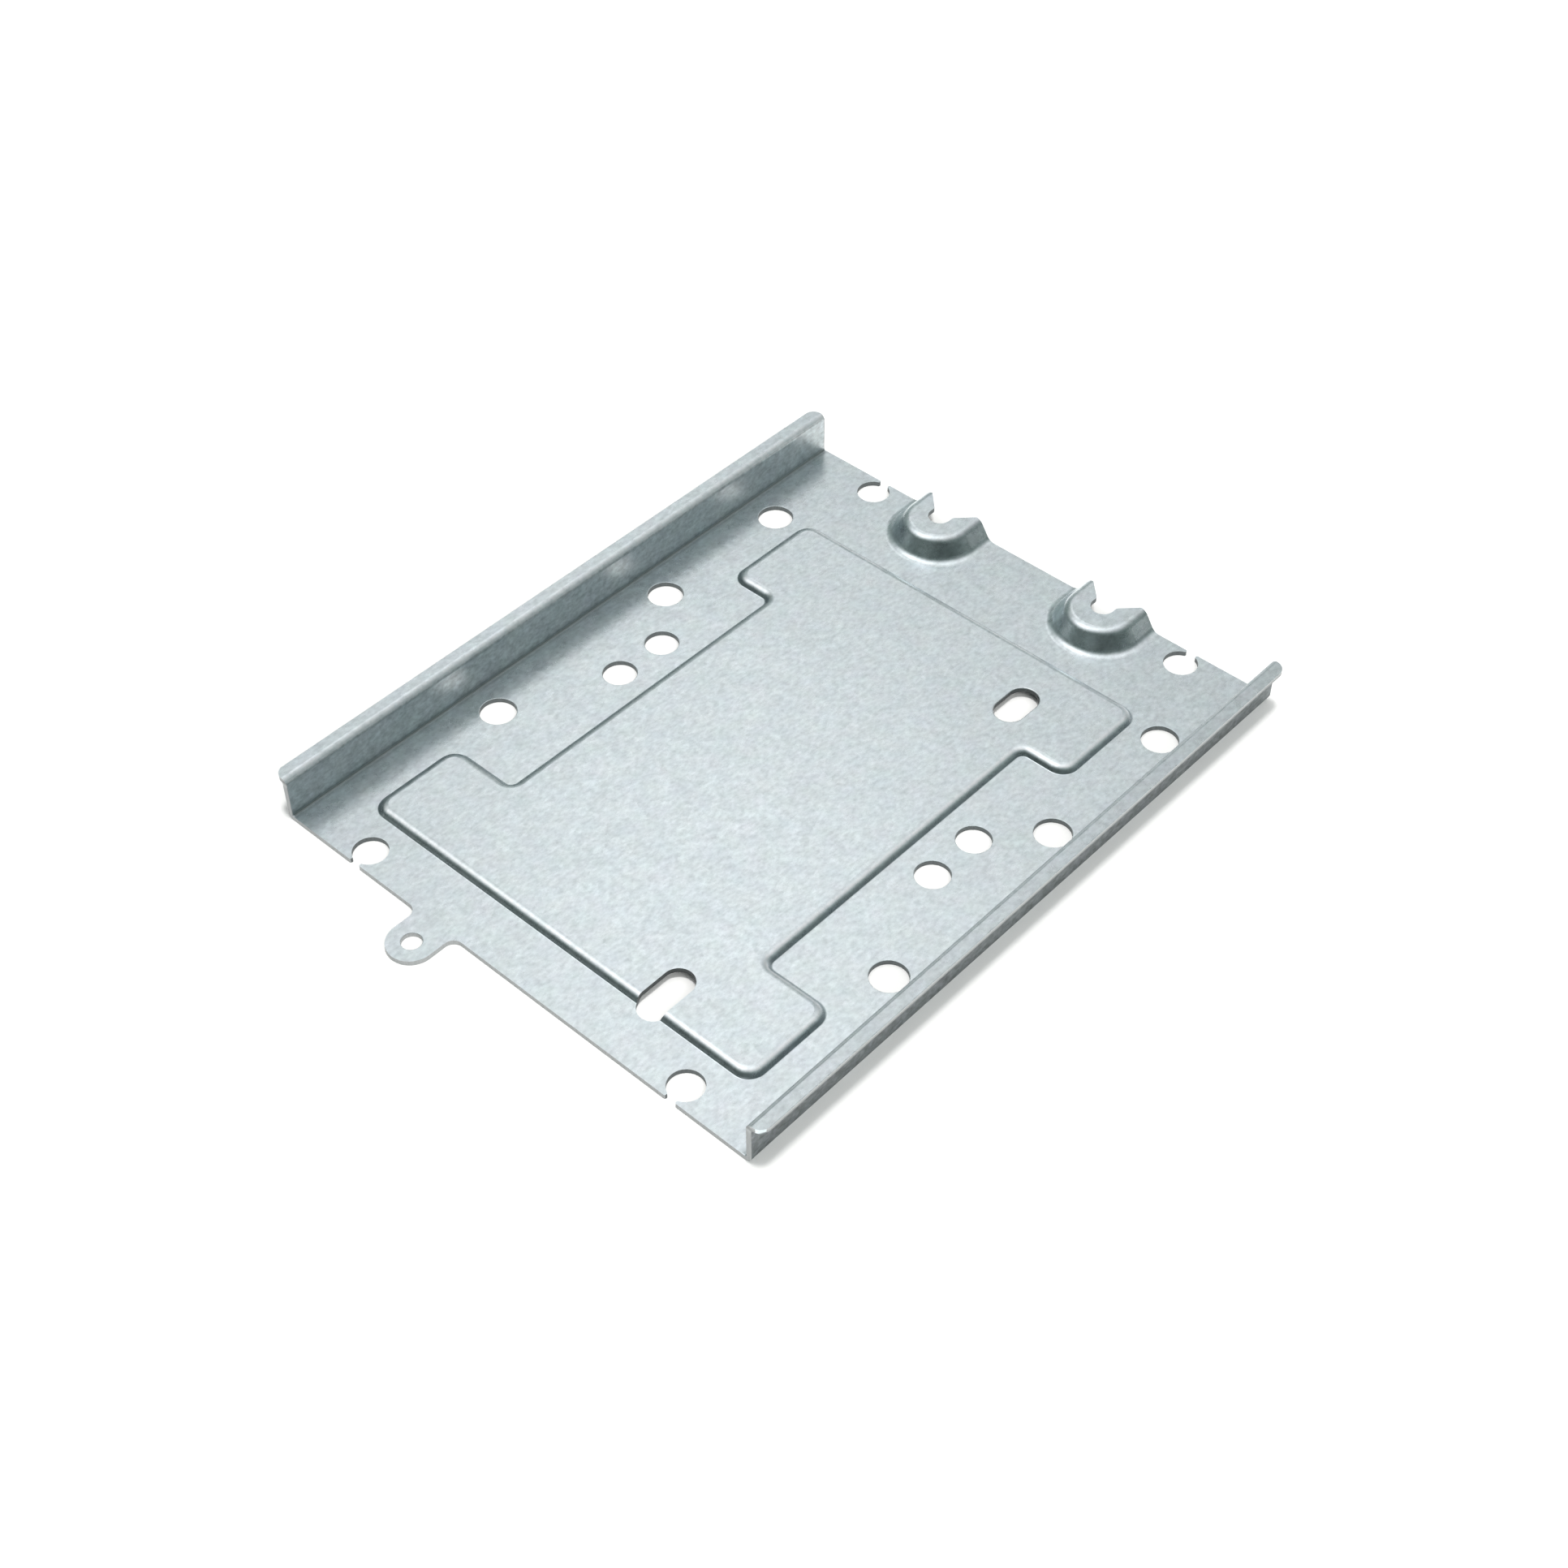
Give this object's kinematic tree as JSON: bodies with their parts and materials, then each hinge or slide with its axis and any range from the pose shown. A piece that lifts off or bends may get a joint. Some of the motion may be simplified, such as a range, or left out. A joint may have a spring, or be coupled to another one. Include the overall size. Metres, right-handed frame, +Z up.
{
  "type": "drive bay adapter bracket",
  "caption": "Folded galvanised steel tray that adapts a hard drive to a larger bay: side flanges with lips, raised panel, screw holes, keyholes, slots, notched bosses and a screw ear.",
  "frame": {"origin": "centre of the four small round holes and of the web, on the underside of the web (Z = 0 is the surface the bracket lies on)", "axes": "+X across the tray to the flange on the slotted side, +Y along the tray from the screw ear to the notched bosses, +Z up out of the tray"},
  "size_m": [0.1166, 0.1521, 0.0098],
  "materials": {
    "galvanised_steel": "pale blue-grey zinc coat, semi-gloss, with a fine mottled spangle"
  },
  "bodies": {
    "root": {"bracket": "galvanised_steel"}
  },
  "joints": []
}
